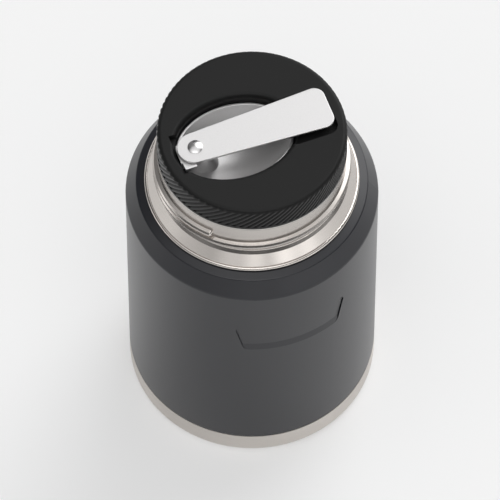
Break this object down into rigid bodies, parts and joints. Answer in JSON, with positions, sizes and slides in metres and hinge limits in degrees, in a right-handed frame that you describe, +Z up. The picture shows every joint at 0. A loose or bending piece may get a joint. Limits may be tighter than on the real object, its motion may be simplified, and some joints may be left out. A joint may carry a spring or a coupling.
{
  "type": "insulated food jar",
  "caption": "Wide-mouth vacuum food jar with a screw-in knurled stopper that stows a folding spoon, and a threaded bare-steel neck for a cup.",
  "frame": {"origin": "centre of the foot ring, on the surface the jar stands on", "axes": "+Z up along the jar's axis; -Y is the front, with the badge panel 19.5 degrees towards +X"},
  "size_m": [0.104, 0.104, 0.1775],
  "materials": {
    "bare_steel": "brushed, bare 18/8 stainless",
    "coated_steel": "fine matt powder coat",
    "vessel_steel": "electropolished",
    "spoon_steel": "fine satin",
    "black_polypropylene": "fine moulded texture",
    "silicone": "smooth",
    "foam": "expanded foam",
    "foil": "bright foil"
  },
  "bodies": {
    "jar": {"base_cap": "bare_steel", "outer_shell": "coated_steel", "vacuum_base": "vessel_steel", "evacuation_seal": "vessel_steel", "getter": "vessel_steel", "inner_vessel": "vessel_steel", "foil_sleeve": "foil", "foil_disc": "foil", "neck_collar": "bare_steel"},
    "stopper_seal": {"stopper_gasket": "silicone"},
    "stopper": {"stopper_cap": "black_polypropylene", "stopper_plug": "black_polypropylene", "stopper_insulation": "foam"},
    "spoon": {"spoon_bowl": "spoon_steel", "pivot_washer": "spoon_steel", "spoon_rivet": "spoon_steel"},
    "handle": {"spoon_handle": "spoon_steel"}
  },
  "joints": [
    {"name": "stopper_lift", "type": "slide", "parent": "jar", "child": "stopper_seal", "axis": [0, 0, 1], "range_m": [0, 0.0361]},
    {"name": "stopper_turn", "type": "hinge", "parent": "stopper_seal", "child": "stopper", "pos_m": [0, 0, 0.1485], "axis": [0, 0, 1], "range_deg": [0, 2160]},
    {"name": "spoon_lift", "type": "slide", "parent": "stopper", "child": "spoon", "axis": [0, 0, 1], "range_m": [0, 0.02]},
    {"name": "handle_swing", "type": "hinge", "parent": "spoon", "child": "handle", "pos_m": [-0.02295, -0.00858, 0.17585], "axis": [0, 0, 1], "range_deg": [0, 180]}
  ],
  "couplings": [
    {"joint": "stopper_lift", "follows": "stopper_turn", "m_per_rad": 0.00095493}
  ]
}
